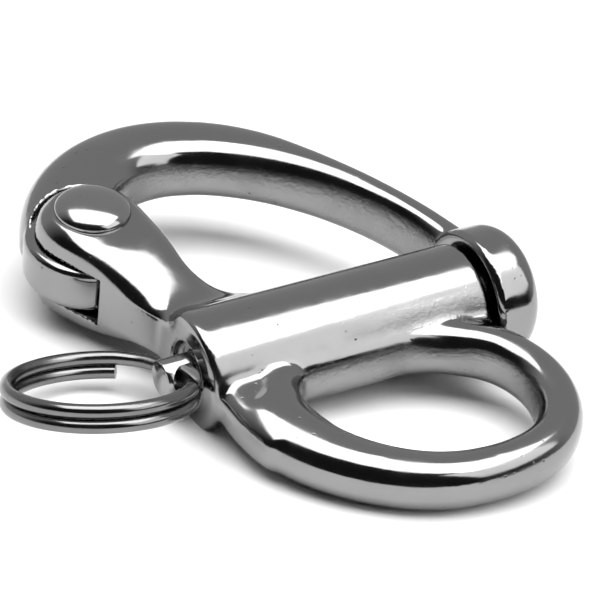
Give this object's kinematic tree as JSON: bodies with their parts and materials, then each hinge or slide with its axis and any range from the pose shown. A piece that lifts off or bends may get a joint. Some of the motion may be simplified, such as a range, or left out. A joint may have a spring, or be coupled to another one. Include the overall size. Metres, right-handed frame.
{
  "type": "snap shackle",
  "caption": "Fixed-eye snap shackle in polished stainless steel: a curved gate hinged in a fork, locked by a sprung plunger that a split ring pulls.",
  "frame": {"origin": "middle of the eye's opening, in the middle plane of the shackle", "axes": "+X along the plunger from the ring end to the nose, +Y along the pull from the eye to the gate, +Z through the thickness"},
  "size_m": [0.0586, 0.0669, 0.0146],
  "materials": {
    "cast_steel": "polished investment-cast 316 stainless steel",
    "turned_steel": "polished turned 316 stainless steel",
    "spring_wire": "drawn stainless spring wire",
    "ring_wire": "drawn stainless wire, darker than the castings"
  },
  "bodies": {
    "casting": {"body_casting": "cast_steel", "hinge_rivet": "turned_steel", "plunger_spring": "spring_wire"},
    "gate": {"gate": "cast_steel"},
    "plunger": {"plunger": "turned_steel"},
    "ring": {"split_ring": "ring_wire"}
  },
  "joints": [
    {"name": "gate_pivot", "type": "hinge", "parent": "casting", "child": "gate", "pos_m": [-0.0198, 0.0353, 0], "axis": [0, 0, 1], "range_deg": [0, 70]},
    {"name": "plunger_slide", "type": "slide", "parent": "casting", "child": "plunger", "axis": [-1, 0, 0], "range_m": [0, 0.0046], "stiffness_N_per_m": 1500, "springref_m": -0.004, "deforming": ["plunger_spring"]},
    {"name": "ring_swing", "type": "hinge", "parent": "plunger", "child": "ring", "pos_m": [-0.0201, 0.0141, 0], "axis": [0, 0.9239, -0.3827], "range_deg": [-40, 40]}
  ]
}
